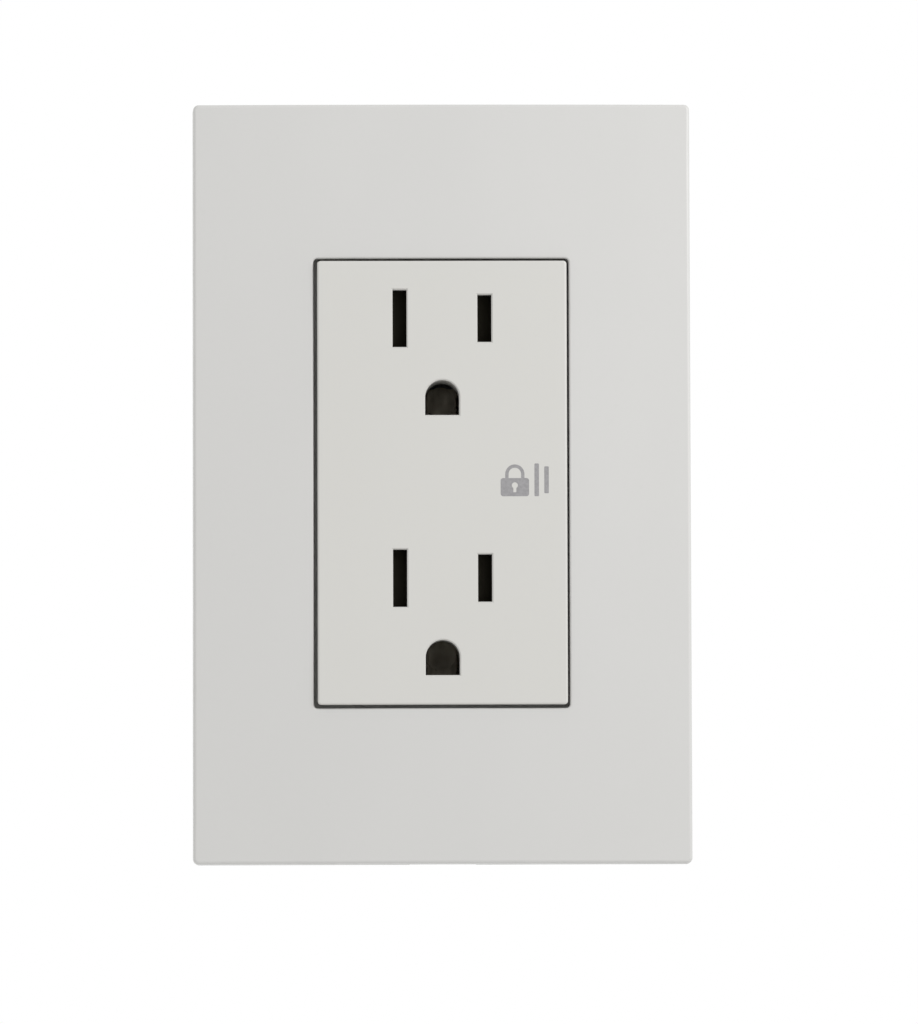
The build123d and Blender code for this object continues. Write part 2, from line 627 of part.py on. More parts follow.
# ------------------------------------------------------------------ shutters
def make_shutter_tray(z):
    """Guide under one pair of blade slots: a slotted floor, two rails, a spring seat and four legs."""
    rail = SLIDER_HALF_Z + 0.12
    with BuildPart() as tray:
        block((-TRAY_END, TRAY_END), (z - 6.1, z + 6.1), (TRAY_BACK, TRAY_FRONT))
        for edge in (1, -1):
            block((-TRAY_END, TRAY_END), (z + edge * rail, z + edge * 6.1), (TRAY_FRONT, SLIDER_FRONT + 0.1))
            for leg_x in (-2.3, 2.3):
                block(
                    (leg_x - 1.0, leg_x + 1.0), (z + edge * 4.7, z + edge * 6.1), (PARTING, TRAY_BACK)
                )
        for side in (1, -1):
            end_wall = (side * (TRAY_END - TRAY_WALL), side * TRAY_END)
            block(end_wall, (z - 6.1, z + 6.1), (TRAY_FRONT, SLIDER_FRONT + 0.1))
        for side, slot in ((-1, NEUTRAL_SLOT), (1, HOT_SLOT)):
            block(
                (side * BLADE_X - 1.4, side * BLADE_X + 1.4),
                (z - slot / 2 - 0.4, z + slot / 2 + 0.4),
                (TRAY_BACK - 1, TRAY_FRONT + 1),
                Mode.SUBTRACT,
            )
    return tray


SLIDER_SPINE_FRONT = 2.9
LAND = (4.5, 8.2)  # reach of the closed part over a slot, from the middle


def make_shutter(z):
    """Sliding shutter: a ramp under each blade slot and a hole beside each ramp.

    Both blades together push it to the left, which brings the holes under the slots. One blade alone
    tips it over the ridge underneath, so it stays shut.
    """
    right = TRAY_END - TRAY_WALL - 0.1
    with BuildPart() as shutter:
        block((SLIDER_LEFT, right), (z - SLIDER_HALF_Z, z + SLIDER_HALF_Z), (SLIDER_BACK, SLIDER_SPINE_FRONT))
        for hole in ((-LAND[0], -0.6), (LAND[1], 12.3)):
            block(hole, (z - 4.3, z + 4.3), (0, 5), Mode.SUBTRACT)
        for low in (-LAND[1], LAND[0]):
            high = low + LAND[1] - LAND[0]
            block((low, high), (z - SLIDER_HALF_Z, z + SLIDER_HALF_Z), (SLIDER_BACK, 5), Mode.SUBTRACT)
            with BuildSketch(ACROSS.offset(-(z + SLIDER_HALF_Z))):
                Polygon(
                    (low, SLIDER_BACK),
                    (high, SLIDER_BACK),
                    (high, SLIDER_BACK + 0.5),
                    (low + 0.7, SLIDER_FRONT),
                    (low, SLIDER_FRONT),
                    align=None,
                )
            extrude(amount=2 * SLIDER_HALF_Z)
        # rocking ridge underneath, and the peg that centres the spring
        with BuildSketch(ACROSS.offset(-(z + SLIDER_HALF_Z))):
            Polygon(
                (1.0, SLIDER_BACK),
                (1.6, TRAY_FRONT + 0.1),
                (2.2, TRAY_FRONT + 0.1),
                (2.8, SLIDER_BACK),
                align=None,
            )
        extrude(amount=2 * SLIDER_HALF_Z)
        with BuildSketch(
            Plane(origin=(SLIDER_LEFT, -SPRING_HEIGHT, z), x_dir=(0, -1, 0), z_dir=(-1, 0, 0))
        ):
            Circle(0.7)
        extrude(amount=1.4)
    return shutter


def make_shutter_spring(z):
    start, end = SLIDER_LEFT - 0.05, -(TRAY_END - TRAY_WALL) + 0.05
    length = start - end - 2 * SPRING_WIRE_R
    with BuildPart() as spring:
        with BuildLine() as coil:
            Helix(
                pitch=length / SPRING_TURNS,
                height=length,
                radius=SPRING_OUTER_R - SPRING_WIRE_R,
                center=(start - SPRING_WIRE_R, -SPRING_HEIGHT, z),
                direction=(-1, 0, 0),
            )
        with BuildSketch(Plane(origin=coil.line @ 0, z_dir=coil.line % 0)):
            Circle(SPRING_WIRE_R)
        sweep(is_frenet=True)
    return spring


# ------------------------------------------------------------------ build and write every piece
write(make_cover_plate(), "cover_plate")
write(make_plate_frame(), "plate_frame")
write(make_strap(), "mounting_strap")
write(make_front_cover(), "front_cover")
write(make_rear_housing(), "rear_housing")
write(make_bus(1), "hot_bus")
write(make_bus(-1), "neutral_bus")

for end, name in ((1, "upper"), (-1, "lower")):
    write(make_plate_screw(end), f"plate_screw_{name}")
    write(make_mounting_screw(end), f"mounting_screw_{name}")
    write(make_screw_retainer(end), f"screw_retainer_{name}")

for side, name in ((1, "right"), (-1, "left")):
    write(make_body_screw(side), f"body_screw_{name}")

for name in OUTLETS:
    write(make_ground_contact(GROUND_Z[name]), f"ground_contact_{name}")
    write(make_ground_rivet(GROUND_Z[name]), f"ground_rivet_{name}")
    write(make_shutter_tray(BLADE_Z[name]), f"shutter_tray_{name}")
    write(make_shutter(BLADE_Z[name]), f"shutter_{name}")
    write(make_shutter_spring(BLADE_Z[name]), f"shutter_spring_{name}")

for name in TERMINALS:
    write(make_terminal_screw(name), f"{name}_screw")
    write(make_clamp(name), f"{name}_clamp")
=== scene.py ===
"""Looks of the duplex wall outlet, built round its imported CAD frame."""

import json
import math
from collections import namedtuple

import bmesh
import bpy
from mathutils import Matrix, Vector


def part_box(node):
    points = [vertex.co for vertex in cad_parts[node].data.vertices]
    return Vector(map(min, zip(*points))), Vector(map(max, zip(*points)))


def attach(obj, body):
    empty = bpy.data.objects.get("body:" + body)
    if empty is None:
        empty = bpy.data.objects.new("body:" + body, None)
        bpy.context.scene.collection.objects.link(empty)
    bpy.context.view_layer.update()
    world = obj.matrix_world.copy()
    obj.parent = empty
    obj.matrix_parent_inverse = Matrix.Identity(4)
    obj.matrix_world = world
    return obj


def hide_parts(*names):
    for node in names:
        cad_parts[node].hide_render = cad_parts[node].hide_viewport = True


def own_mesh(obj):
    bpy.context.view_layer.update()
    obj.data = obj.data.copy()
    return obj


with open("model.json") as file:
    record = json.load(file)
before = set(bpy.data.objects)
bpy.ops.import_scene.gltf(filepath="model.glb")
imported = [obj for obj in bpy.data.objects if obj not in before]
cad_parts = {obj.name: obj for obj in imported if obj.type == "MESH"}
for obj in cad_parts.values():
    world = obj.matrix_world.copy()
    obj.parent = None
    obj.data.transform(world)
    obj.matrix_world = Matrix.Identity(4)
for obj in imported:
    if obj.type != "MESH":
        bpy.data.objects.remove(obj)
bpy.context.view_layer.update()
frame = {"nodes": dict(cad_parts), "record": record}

NODES = frame["nodes"]
MM = 0.001
THREAD_PITCH = 25.4 / 32 * MM


# ------------------------------------------------------------------ camera
# A long lens, nearly straight ahead and a little below the middle of the outlet.
CAMERA_DISTANCE = 0.9
CAMERA_X, CAMERA_Z = -0.0108, -0.0486
YAW, PITCH, ROLL = math.radians(-0.851), math.radians(2.828), math.radians(0.157)
LENS, SENSOR = 140.3, 24.0


def make_camera():
    data = bpy.data.cameras.new("camera")
    data.sensor_fit = "VERTICAL"
    data.sensor_height = data.sensor_width = SENSOR
    data.lens = LENS
    data.clip_start, data.clip_end = 0.05, 20
    camera = bpy.data.objects.new("camera", data)
    bpy.context.scene.collection.objects.link(camera)
    flat = Vector((-math.sin(YAW), math.cos(YAW), 0))
    forward = flat * math.cos(PITCH) + Vector((0, 0, math.sin(PITCH)))
    right = Vector((math.cos(YAW), math.sin(YAW), 0))
    up = right.cross(forward)
    rolled_right = right * math.cos(ROLL) - up * math.sin(ROLL)
    rolled_up = right * math.sin(ROLL) + up * math.cos(ROLL)
    turn = Matrix((rolled_right, rolled_up, -forward)).transposed().to_4x4()
    camera.matrix_world = Matrix.Translation((CAMERA_X, -CAMERA_DISTANCE, CAMERA_Z)) @ turn
    bpy.context.scene.camera = camera


# ------------------------------------------------------------------ materials
# where a Mix node keeps its two colours and the mixed one
MIX_FIRST, MIX_SECOND, MIX_RESULT = 6, 7, 2


class Shader:
    """A new material and short ways to add nodes to it."""

    def __init__(self, name):
        self.material = bpy.data.materials.new(name)
        self.material.use_nodes = True
        self.tree = self.material.node_tree
        self.tree.nodes.clear()
        self.out = self.tree.nodes.new("ShaderNodeOutputMaterial")
        self.bsdf = self.tree.nodes.new("ShaderNodeBsdfPrincipled")
        self.tree.links.new(self.bsdf.outputs["BSDF"], self.out.inputs["Surface"])
        self.place = self.tree.nodes.new("ShaderNodeTexCoord").outputs["Object"]

    def link(self, source, target):
        self.tree.links.new(source, target)

    def stretched(self, scale):
        """The piece's own coordinates, scaled apart along its axes."""
        node = self.tree.nodes.new("ShaderNodeMapping")
        node.inputs["Scale"].default_value = scale
        self.link(self.place, node.inputs["Vector"])
        return node.outputs["Vector"]

    def noise(self, size, detail=3.0, place=None, roughness=0.5):
        """Noise with features of about that size, in metres."""
        node = self.tree.nodes.new("ShaderNodeTexNoise")
        node.inputs["Scale"].default_value = 1 / size
        node.inputs["Detail"].default_value = detail
        node.inputs["Roughness"].default_value = roughness
        self.link(place or self.place, node.inputs["Vector"])
        return node.outputs["Fac"]

    def cells(self, size):
        """Patches of random colour, of about that size in metres."""
        node = self.tree.nodes.new("ShaderNodeTexVoronoi")
        node.inputs["Scale"].default_value = 1 / size
        self.link(self.place, node.inputs["Vector"])
        return node.outputs["Color"]

    def ranged(self, source, low, high, start=0.3, end=0.7):
        """The source's values from start to end, spread over low to high."""
        node = self.tree.nodes.new("ShaderNodeMapRange")
        for name, value in (("From Min", start), ("From Max", end), ("To Min", low), ("To Max", high)):
            node.inputs[name].default_value = value
        self.link(source, node.inputs["Value"])
        return node.outputs["Result"]

    def mixed(self, factor, a, b):
        """Between two colours, each a triple or a colour output."""
        node = self.tree.nodes.new("ShaderNodeMix")
        node.data_type = "RGBA"
        self.link(factor, node.inputs["Factor"])
        for value, socket in ((a, node.inputs[MIX_FIRST]), (b, node.inputs[MIX_SECOND])):
            if isinstance(value, tuple):
                socket.default_value = (*value, 1)
            else:
                self.link(value, socket)
        return node.outputs[MIX_RESULT]

    def bump(self, height, depth, strength=1.0, under=None):
        """A normal for relief of that depth, in metres, on top of the normal given as under."""
        node = self.tree.nodes.new("ShaderNodeBump")
        node.inputs["Strength"].default_value = strength
        node.inputs["Distance"].default_value = depth
        self.link(height, node.inputs["Height"])
        if under is not None:
            self.link(under, node.inputs["Normal"])
        return node.outputs["Normal"]

    def near_edges(self, width):
        """1 on worn edges, from how far a bevelled normal leans away from the true one."""
        bevel = self.tree.nodes.new("ShaderNodeBevel")
        bevel.inputs["Radius"].default_value = width
        bevel.samples = 4
        geometry = self.tree.nodes.new("ShaderNodeNewGeometry")
        dot = self.tree.nodes.new("ShaderNodeVectorMath")
        dot.operation = "DOT_PRODUCT"
        self.link(bevel.outputs["Normal"], dot.inputs[0])
        self.link(geometry.outputs["Normal"], dot.inputs[1])
        return self.ranged(dot.outputs["Value"], 1.0, 0.0, 0.82, 0.99)


def tinted(color, factor):
    return tuple(min(1.0, c * factor) for c in color)


def plastic(name, color, roughness, grain_depth=4e-6, blotch=0.02, specular=0.5):
    """Moulded plastic: faint flow marks in the colour, and a fine even grain from the mould."""
    s = Shader(name)
    flow = s.noise(size=0.018, detail=2.0, place=s.stretched((1.0, 1.0, 0.45)))
    speck = s.noise(size=0.0011, detail=4.0)
    base = s.mixed(s.ranged(flow, 0, 1), tinted(color, 1 - blotch), tinted(color, 1 + blotch))
    soiled = s.mixed(s.ranged(speck, 0, 0.5, 0.60, 0.78), base, tinted(color, 1 - 2.2 * blotch))
    s.link(soiled, s.bsdf.inputs["Base Color"])
    sheen = s.ranged(s.noise(size=0.006, detail=4.0), roughness - 0.05, roughness + 0.06)
    s.link(sheen, s.bsdf.inputs["Roughness"])
    grain = s.bump(s.noise(size=0.00018, detail=2.0), depth=grain_depth)
    waves = s.bump(s.noise(size=0.011, detail=1.0), depth=1.2e-5, under=grain)
    s.link(waves, s.bsdf.inputs["Normal"])
    s.bsdf.inputs["Specular IOR Level"].default_value = specular
    s.bsdf.inputs["IOR"].default_value = 1.49
    return s.material


def metal(name, color, roughness, tarnish, brushed=(1, 1, 1), spangle=0.0, worn=None):
    """Sheet or screw metal: rolling lines, patches of tarnish, and edges rubbed brighter."""
    s = Shader(name)
    lines = s.noise(size=0.0005, detail=5.0, place=s.stretched(brushed), roughness=0.65)
    patches = s.noise(size=0.004, detail=4.0)
    base = s.mixed(s.ranged(patches, 0, 1, 0.42, 0.72), color, tarnish)
    if spangle:
        base = s.mixed(s.ranged(s.cells(0.0022), 0, spangle, 0, 1), base, tinted(color, 1.12))
    edges = s.near_edges(width=0.00022)
    rubbed = s.mixed(edges, base, worn or tinted(color, 1.18))
    s.link(rubbed, s.bsdf.inputs["Base Color"])
    s.bsdf.inputs["Metallic"].default_value = 1.0
    s.link(s.ranged(lines, roughness - 0.08, roughness + 0.1), s.bsdf.inputs["Roughness"])
    s.link(s.bump(lines, depth=5e-6, strength=0.8), s.bsdf.inputs["Normal"])
    return s.material


def ink(name, color):
    """Printed ink: slightly uneven in colour and sheen."""
    s = Shader(name)
    cover = s.ranged(s.noise(size=0.0004, detail=3.0), 0, 1)
    s.link(s.mixed(cover, tinted(color, 0.92), tinted(color, 1.1)), s.bsdf.inputs["Base Color"])
    s.link(s.ranged(s.noise(size=0.0003), 0.42, 0.6), s.bsdf.inputs["Roughness"])
    s.link(s.bump(s.noise(size=0.00012), depth=2e-6), s.bsdf.inputs["Normal"])
    return s.material


PLASTICS = {
    "plate_white": dict(color=(0.504, 0.500, 0.488), roughness=0.42, blotch=0.008),
    "face_white": dict(color=(0.508, 0.502, 0.479), roughness=0.36, blotch=0.006),
    "frame_white": dict(color=(0.52, 0.515, 0.49), roughness=0.5, blotch=0.015),
    "housing_grey": dict(color=(0.16, 0.165, 0.17), roughness=0.48, grain_depth=9e-6, blotch=0.06),
    "tray_grey": dict(color=(0.02, 0.02, 0.021), roughness=0.45, blotch=0.1, specular=0.3),
    "shutter_black": dict(color=(0.022, 0.0195, 0.014), roughness=0.4, blotch=0.1, specular=0.25),
    "natural_plastic": dict(color=(0.62, 0.60, 0.53), roughness=0.4, blotch=0.03),
}
METALS = {
    "zinc_steel": dict(
        color=(0.60, 0.62, 0.64),
        roughness=0.34,
        tarnish=(0.46, 0.47, 0.48),
        brushed=(1, 1, 0.15),
        spangle=0.5,
    ),
    "spring_steel": dict(color=(0.42, 0.42, 0.43), roughness=0.25, tarnish=(0.33, 0.32, 0.31)),
    "brass": dict(color=(0.80, 0.60, 0.28), roughness=0.28, tarnish=(0.62, 0.42, 0.19), brushed=(1, 1, 0.12)),
    "contact_brass": dict(
        color=(0.42, 0.38, 0.31), roughness=0.5, tarnish=(0.28, 0.25, 0.20), brushed=(1, 1, 0.12)
    ),
    "brass_screw": dict(color=(0.82, 0.63, 0.30), roughness=0.24, tarnish=(0.70, 0.50, 0.22)),
    "nickel": dict(color=(0.70, 0.68, 0.63), roughness=0.24, tarnish=(0.56, 0.53, 0.48), brushed=(1, 1, 0.2)),
    "green_screw": dict(
        color=(0.05, 0.30, 0.13), roughness=0.32, tarnish=(0.03, 0.20, 0.09), worn=(0.35, 0.48, 0.36)
    ),
}
MATERIALS = {name: plastic(name, **look) for name, look in PLASTICS.items()}
MATERIALS.update({name: metal(name, **look) for name, look in METALS.items()})
INK = ink("mark_ink", (0.245, 0.240, 0.245))


# ------------------------------------------------------------------ mesh helpers
def new_object(name, mesh, material, body, smooth=True):
    """A piece whose place is in its vertices."""
    mesh.materials.clear()
    mesh.materials.append(material)
    for polygon in mesh.polygons:
        polygon.use_smooth = smooth
    piece = bpy.data.objects.new(name, mesh)
    bpy.context.scene.collection.objects.link(piece)
    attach(piece, body)
    return piece


def closed_skin(bm, rings):
    """A closed surface over rings of vertices: quads between neighbours, and a cap at each end."""
    count = len(rings[0])
    for a, b in zip(rings, rings[1:]):
        for i in range(count):
            j = (i + 1) % count
            bm.faces.new((a[i], a[j], b[j], b[i]))
    bm.faces.new(rings[0])
    bm.faces.new(list(reversed(rings[-1])))


SCREW_SIDES = 40


def turned(bm, profile, radius_at):
    """A closed solid round local Z from a profile of (radius, z) pairs, from the top down.

    radius_at(radius, z, turn) gives the true radius at that share of a turn.
    """
    rings = []
    for profile_r, z in profile:
        ring = []
        for i in range(SCREW_SIDES):
            r = radius_at(profile_r, z, i / SCREW_SIDES)
            angle = math.tau * i / SCREW_SIDES
            ring.append(bm.verts.new((r * math.cos(angle), r * math.sin(angle), z)))
        rings.append(ring)
    closed_skin(bm, rings)


def finished_mesh(bm, name):
    bmesh.ops.recalc_face_normals(bm, faces=bm.faces)
    mesh = bpy.data.meshes.new(name)
    bm.to_mesh(mesh)
    bm.free()
    return mesh


def cut_away(mesh, cutters, name):
    """The mesh with each cutter's box taken out of it. A cutter is (centre, size, turn about Z)."""
    base = bpy.data.objects.new(name, mesh)
    bpy.context.scene.collection.objects.link(base)
    tools = []
    for centre, size, angle in cutters:
        bm = bmesh.new()
        bmesh.ops.create_cube(bm, size=1)
        bmesh.ops.scale(bm, vec=size, verts=bm.verts)
        bmesh.ops.rotate(bm, matrix=Matrix.Rotation(angle, 3, "Z"), verts=bm.verts)
        bmesh.ops.translate(bm, vec=centre, verts=bm.verts)
        tool = bpy.data.objects.new(name + "_tool", finished_mesh(bm, name + "_tool"))
        bpy.context.scene.collection.objects.link(tool)
        tools.append(tool)
        cut = base.modifiers.new("cut", "BOOLEAN")
        cut.operation, cut.solver, cut.object = "DIFFERENCE", "EXACT", tool
    depsgraph = bpy.context.evaluated_depsgraph_get()
    result = bpy.data.meshes.new_from_object(base.evaluated_get(depsgraph))
    for extra in [base, *tools]:
        bpy.data.objects.remove(extra)
    return result


def soften(piece, width):
    """Rounds a piece's sharp edges a little, and shades it smoothly between them."""
    bevel = piece.modifiers.new("edge_round", "BEVEL")
    bevel.width, bevel.segments = width, 2
    bevel.limit_method, bevel.angle_limit = "ANGLE", math.radians(35)
    bevel.harden_normals = True
    bevel.use_clamp_overlap = True


# ------------------------------------------------------------------ screws
Shank = namedtuple("Shank", "neck_r neck_length thread_r root_r thread_length")
ROWS_PER_PITCH = 8
POLE_R = 0.0006 * MM  # the first ring of a head: its top closes with a tiny cap


def threaded_screw(name, head, shank, recess, place, body, slot_name):
    """A screw along local Z: a turned head, a plain neck, a helical thread and a blunt tip.

    head is its (radius, z) outline from the top down. A pan head stands on its seat at 0, and a
    countersunk one has its top at 0. The neck and the thread run down from 0.
    """
    start = -shank.neck_length
    end = -shank.neck_length - shank.thread_length
    rows = [(shank.neck_r, head[-1][1] - 0.0001 * MM), (shank.neck_r, start)]
    count = int(shank.thread_length / THREAD_PITCH * ROWS_PER_PITCH)
    for i in range(count + 1):
        rows.append((None, start - shank.thread_length * i / count))
    rows.append((shank.root_r * 0.72, end - 0.35 * MM))
    fade_in, fade_out = 0.6 * THREAD_PITCH, 1.2 * THREAD_PITCH

    def radius_at(r, z, turn):
        """The profile's own radius, or the thread's where the profile has None."""
        if r is not None:
            return r
        phase = (z / THREAD_PITCH - turn) % 1.0
        crest = max(0.0, 1 - abs(phase - 0.5) * 2 / 0.88)
        run_in = min(1.0, max(0.0, (start - z) / fade_in))
        run_out = min(1.0, max(0.0, (z - end) / fade_out))
        return shank.root_r + (shank.thread_r - shank.root_r) * crest * min(run_in, 0.35 + 0.65 * run_out)

    bm = bmesh.new()
    turned(bm, list(head) + rows, radius_at)
    mesh = cut_away(finished_mesh(bm, name), recess, name)
    mesh.transform(place)
    piece = new_object(name, mesh, MATERIALS[slot_name], body)
    piece.data.set_sharp_from_angle(angle=math.radians(38))
    return piece


def axis_place(origin, direction, spin):
    """Puts local Z along a direction of the shared frame, turned by spin about itself."""
    turn = Vector(direction).to_track_quat("Z", "Y").to_matrix().to_4x4()
    return Matrix.Translation(origin) @ turn @ Matrix.Rotation(spin, 4, "Z")


def domed(radius, height, flat_share, rim):
    """Outline of a pan head: nearly flat on top, rounded over to its rim, then down to the seat."""
    steps = 6
    flat = radius * flat_share
    outline = [(POLE_R, height), (flat * 0.6, height - 0.004 * MM)]
    for i in range(steps + 1):
        a = math.pi / 2 * i / steps
        outline.append((flat + (radius - flat) * math.sin(a), rim + (height - rim) * math.cos(a)))
    outline.append((radius, 0.12 * MM))
    outline.append((radius - 0.1 * MM, 0.0))
    return outline


def recess_box(length, width, depth, top, angle=0.0):
    """A cutter for cut_away: as deep below the head's top as asked, and standing 1 mm above it."""
    return ((0, 0, top - depth / 2 + 0.5 * MM), (length, width, depth + MM), angle)


def slot_cut(width, depth, top):
    """A straight driver slot, right across the head."""
    return recess_box(20 * MM, width, depth, top)


def cross_cut(span, width, depth, top):
    """The two arms of a cross recess."""
    return [recess_box(span, width, depth, top, angle) for angle in (0.0, math.pi / 2)]


def middle(node):
    low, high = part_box(node)
    return (low + high) / 2, low, high


MOUNTING_SHANK = Shank(
    neck_r=1.6 * MM, neck_length=1.55 * MM, thread_r=1.75 * MM, root_r=1.36 * MM, thread_length=18.85 * MM
)


def add_mounting_screw(end, spin):
    centre, low, _ = middle(f"mounting_screw_{end}")
    seat_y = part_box(f"screw_retainer_{end}")[0].y
    top = seat_y - low.y
    piece = threaded_screw(
        f"mounting_screw_detail_{end}",
        domed(3.1 * MM, top, flat_share=0.45, rim=0.55 * MM),
        MOUNTING_SHANK,
        [
            slot_cut(width=0.95 * MM, depth=0.95 * MM, top=top),
            *cross_cut(span=3.6 * MM, width=0.85 * MM, depth=1.3 * MM, top=top),
        ],
        axis_place((centre.x, seat_y, centre.z), (0, -1, 0), spin),
        f"mounting_screw_{end}",
        "zinc_steel",
    )
    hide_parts(f"mounting_screw_{end}")


PLATE_SCREW_HEAD = [
    (POLE_R, 0.0),
    (2.0 * MM, -0.001 * MM),
    (3.0 * MM, -0.002 * MM),
    (2.98 * MM, -0.06 * MM),
    (1.72 * MM, -1.45 * MM),
]
PLATE_SCREW_SHANK = Shank(
    neck_r=1.70 * MM, neck_length=1.6 * MM, thread_r=1.69 * MM, root_r=1.34 * MM, thread_length=5.9 * MM
)


def add_plate_screw(end, spin):
    centre, low, _ = middle(f"plate_screw_{end}")
    piece = threaded_screw(
        f"plate_screw_detail_{end}",
        PLATE_SCREW_HEAD,
        PLATE_SCREW_SHANK,
        [slot_cut(width=0.85 * MM, depth=0.8 * MM, top=0.0)],
        axis_place((centre.x, low.y, centre.z), (0, -1, 0), spin),
        "device",
        "zinc_steel",
    )
    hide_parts(f"plate_screw_{end}")


TERMINALS = {
    "hot_upper": "brass_screw",
    "hot_lower": "brass_screw",
    "neutral_upper": "nickel",
    "neutral_lower": "nickel",
    "ground": "green_screw",
}
HEAD_HEIGHT, HEAD_RADIUS = 2.3 * MM, 4.0 * MM
TERMINAL_NECK, TERMINAL_TIP = 1.0 * MM, 0.35 * MM


def add_terminal_screw(name, slot_name, spin):
    """The screw on one side of the body, its head outermost and its tip where the CAD screw ends."""
    centre, low, high = middle(f"{name}_screw")
    side = 1 if centre.x > 0 else -1
    seat_x = (high.x - HEAD_HEIGHT) if side > 0 else (low.x + HEAD_HEIGHT)
    length = abs(seat_x - (low.x if side > 0 else high.x))
    piece = threaded_screw(
        f"{name}_screw_detail",
        domed(HEAD_RADIUS, HEAD_HEIGHT, flat_share=0.62, rim=0.7 * MM),
        Shank(1.9 * MM, TERMINAL_NECK, 2.08 * MM, 1.62 * MM, length - TERMINAL_NECK - TERMINAL_TIP),
        [
            slot_cut(width=1.15 * MM, depth=1.1 * MM, top=HEAD_HEIGHT),
            *cross_cut(span=4.4 * MM, width=1.0 * MM, depth=1.5 * MM, top=HEAD_HEIGHT),
        ],
        axis_place((seat_x, centre.y, centre.z), (side, 0, 0), spin),
        f"{name}_screw",
        slot_name,
    )
    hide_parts(f"{name}_screw")


for end, mounting_spin, plate_spin in (("upper", 0.35, 0.2), ("lower", 1.1, 1.9)):
    add_mounting_screw(end, mounting_spin)
    add_plate_screw(end, plate_spin)
for index, (name, slot_name) in enumerate(TERMINALS.items()):
    add_terminal_screw(name, slot_name, 0.5 + 0.7 * index)


# ------------------------------------------------------------------ shutter springs
WIRE_SIDES, STEPS_PER_TURN = 10, 36


def helix_tube(name, start, length, coil_r, wire_r, turns):
    """A coil spring along -X from start, with a closed turn at each end."""
    total = turns + 2
    open_pitch = (length - 4 * wire_r) / turns
    bm = bmesh.new()
    rings = []
    count = int(total * STEPS_PER_TURN)
    for i in range(count + 1):
        turn = total * i / count
        if turn <= 1:
            along = 2 * wire_r * turn
        elif turn >= total - 1:
            along = length - 2 * wire_r * (total - turn)
        else:
            along = 2 * wire_r + open_pitch * (turn - 1)
        angle = math.tau * turn
        radial = Vector((0, math.cos(angle), math.sin(angle)))
        centre = Vector(start) + Vector((-along, 0, 0)) + radial * coil_r
        ring = []
        for k in range(WIRE_SIDES):
            outward = radial * wire_r * math.cos(math.tau * k / WIRE_SIDES)
            forward = Vector((-1, 0, 0)) * wire_r * math.sin(math.tau * k / WIRE_SIDES)
            ring.append(bm.verts.new(centre + outward + forward))
        rings.append(ring)
    closed_skin(bm, rings)
    return finished_mesh(bm, name)


WIRE_R = 0.16 * MM


def add_shutter_spring(end):
    """The coil stands against the tray at its low X end, and the shutter squashes it from the other."""
    centre, low, high = middle(f"shutter_spring_{end}")
    mesh = helix_tube(
        f"shutter_spring_coil_{end}",
        start=(high.x - WIRE_R, centre.y, centre.z),
        length=high.x - low.x - 2 * WIRE_R,
        coil_r=(high.z - low.z) / 2 - WIRE_R,
        wire_r=WIRE_R,
        turns=4,
    )
    piece = new_object(
        f"shutter_spring_coil_{end}", mesh, MATERIALS["spring_steel"], "device"
    )
    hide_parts(f"shutter_spring_{end}")
    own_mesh(piece)


for end in ("upper", "lower"):
    add_shutter_spring(end)


# ------------------------------------------------------------------ printed mark
def arc(cx, cz, radius, start, end, steps=16):
    """Points round a centre from one angle to another, in degrees."""
    return [
        (cx + radius * math.cos(a), cz + radius * math.sin(a))
        for a in (math.radians(start + (end - start) * i / steps) for i in range(steps + 1))
    ]


def rounded_box(cx, cz, width, height, corner):
    points = []
    for sx, sz, start in ((1, 1, 0), (-1, 1, 90), (-1, -1, 180), (1, -1, 270)):
        x = cx + sx * (width / 2 - corner)
        z = cz + sz * (height / 2 - corner)
        points += arc(x, z, corner, start, start + 90, 5)
    return points


def mark_outlines():
    """A closed padlock beside two blade slots, about a millimetre to the unit."""
    outer, inner, rise = 1.32, 0.86, 0.55
    shackle = arc(0, rise, outer, 0, 180) + [(-outer, 0), (-inner, 0)]
    shackle += arc(0, rise, inner, 180, 0) + [(inner, 0), (outer, 0)]
    lock_body = rounded_box(0, -1.25, 3.9, 2.5, 0.35)
    keyhole = arc(0, -1.0, 0.42, -60, 240, 12) + [(-0.2, -1.95), (0.2, -1.95)]
    tall_slot = rounded_box(3.0, -0.25, 0.62, 4.5, 0.12)
    short_slot = rounded_box(4.35, -0.25, 0.62, 3.7, 0.12)
    return [shackle, lock_body, keyhole, tall_slot, short_slot]


def printed_mark():
    """The mark as a thin raised mesh: it says that the slots are shuttered."""
    curve = bpy.data.curves.new("face_mark", "CURVE")
    curve.dimensions, curve.fill_mode = "2D", "BOTH"
    curve.extrude = 0.006
    for outline in mark_outlines():
        spline = curve.splines.new("POLY")
        spline.points.add(len(outline) - 1)
        for point, (x, z) in zip(spline.points, outline):
            point.co = (x, z, 0, 1)
        spline.use_cyclic_u = True
    holder = bpy.data.objects.new("face_mark_curve", curve)
    bpy.context.scene.collection.objects.link(holder)
    depsgraph = bpy.context.evaluated_depsgraph_get()
    mesh = bpy.data.meshes.new_from_object(holder.evaluated_get(depsgraph))
    bpy.data.objects.remove(holder)
    return mesh


MARK_X, MARK_Z, MARK_SCALE = 10.83 * MM, 0.6 * MM, 1.09
mark_mesh = printed_mark()
face_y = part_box("front_cover")[0].y
mark_mesh.transform(
    Matrix.Translation((MARK_X, face_y, MARK_Z))
    @ Matrix.Rotation(math.pi / 2, 4, "X")
    @ Matrix.Scale(MARK_SCALE * MM, 4)
)
new_object("face_mark", mark_mesh, INK, "device", smooth=False)


# ------------------------------------------------------------------ carried-over CAD pieces
SLOT_OF = {s["node"]: s["material_slot"] for s in frame["record"]["subparts"]}
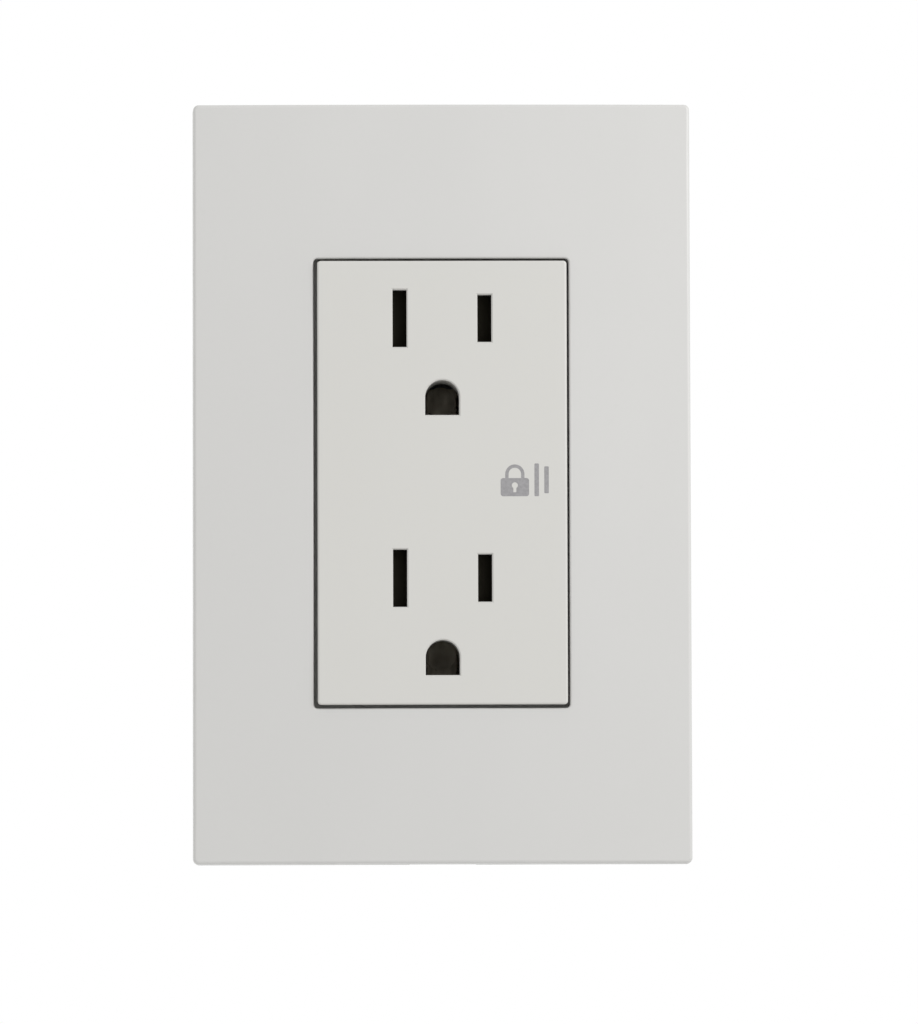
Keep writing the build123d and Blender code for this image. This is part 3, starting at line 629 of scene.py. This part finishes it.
# how far each of these pieces' edges are rounded, in millimetres
SOFTENED_MM = {
    "plate_frame": 0.12,
    "mounting_strap": 0.14,
    "rear_housing": 0.12,
    "hot_bus": 0.08,
    "neutral_bus": 0.08,
    "screw_retainer_upper": 0.05,
    "screw_retainer_lower": 0.05,
}
for node_name, node in NODES.items():
    material = MATERIALS[SLOT_OF[node_name]]
    node.data.materials.clear()
    node.data.materials.append(material)
    if not node.hide_render and node_name in SOFTENED_MM:
        soften(node, SOFTENED_MM[node_name] * MM)
# the wide, slightly curved faces of the plate should shade evenly right up to their rounded edges
even = NODES["cover_plate"].modifiers.new("even_shading", "WEIGHTED_NORMAL")
even.weight, even.keep_sharp = 80, True


# ------------------------------------------------------------------ stage and light
FLOOR_SIZE, FLOOR_Z = 1.2, -0.45


def make_floor():
    bm = bmesh.new()
    bmesh.ops.create_grid(bm, x_segments=8, y_segments=8, size=FLOOR_SIZE)
    floor = bpy.data.objects.new("floor", finished_mesh(bm, "floor"))
    bpy.context.scene.collection.objects.link(floor)
    floor.location = (0, 0, FLOOR_Z)
    s = Shader("floor")
    clouds = s.noise(size=0.3, detail=2.0)
    s.link(s.mixed(clouds, (0.80, 0.80, 0.80), (0.86, 0.86, 0.85)), s.bsdf.inputs["Base Color"])
    s.bsdf.inputs["Roughness"].default_value = 0.7
    floor.data.materials.append(s.material)


def area_light(name, place, size, power):
    """A white disc of light at a place, aimed at the middle of the outlet."""
    data = bpy.data.lights.new(name, "AREA")
    data.shape, data.size, data.energy = "DISK", size, power
    light = bpy.data.objects.new(name, data)
    bpy.context.scene.collection.objects.link(light)
    light.location = place
    light.rotation_mode = "QUATERNION"
    light.rotation_quaternion = (-Vector(place)).to_track_quat("-Z", "Y")


def make_light():
    world = bpy.data.worlds.new("studio")
    world.use_nodes = True
    background = world.node_tree.nodes["Background"]
    background.inputs["Color"].default_value = (1, 1, 1, 1)
    background.inputs["Strength"].default_value = 1.0
    bpy.context.scene.world = world
    area_light("key", place=(0.42, -0.36, 0.24), size=0.3, power=1.9)
    area_light("back", place=(-0.6, 0.9, 0.5), size=0.6, power=2.0)
    bpy.context.scene.view_settings.view_transform = "Standard"
    bpy.context.scene.view_settings.look = "None"


make_camera()
make_floor()
make_light()
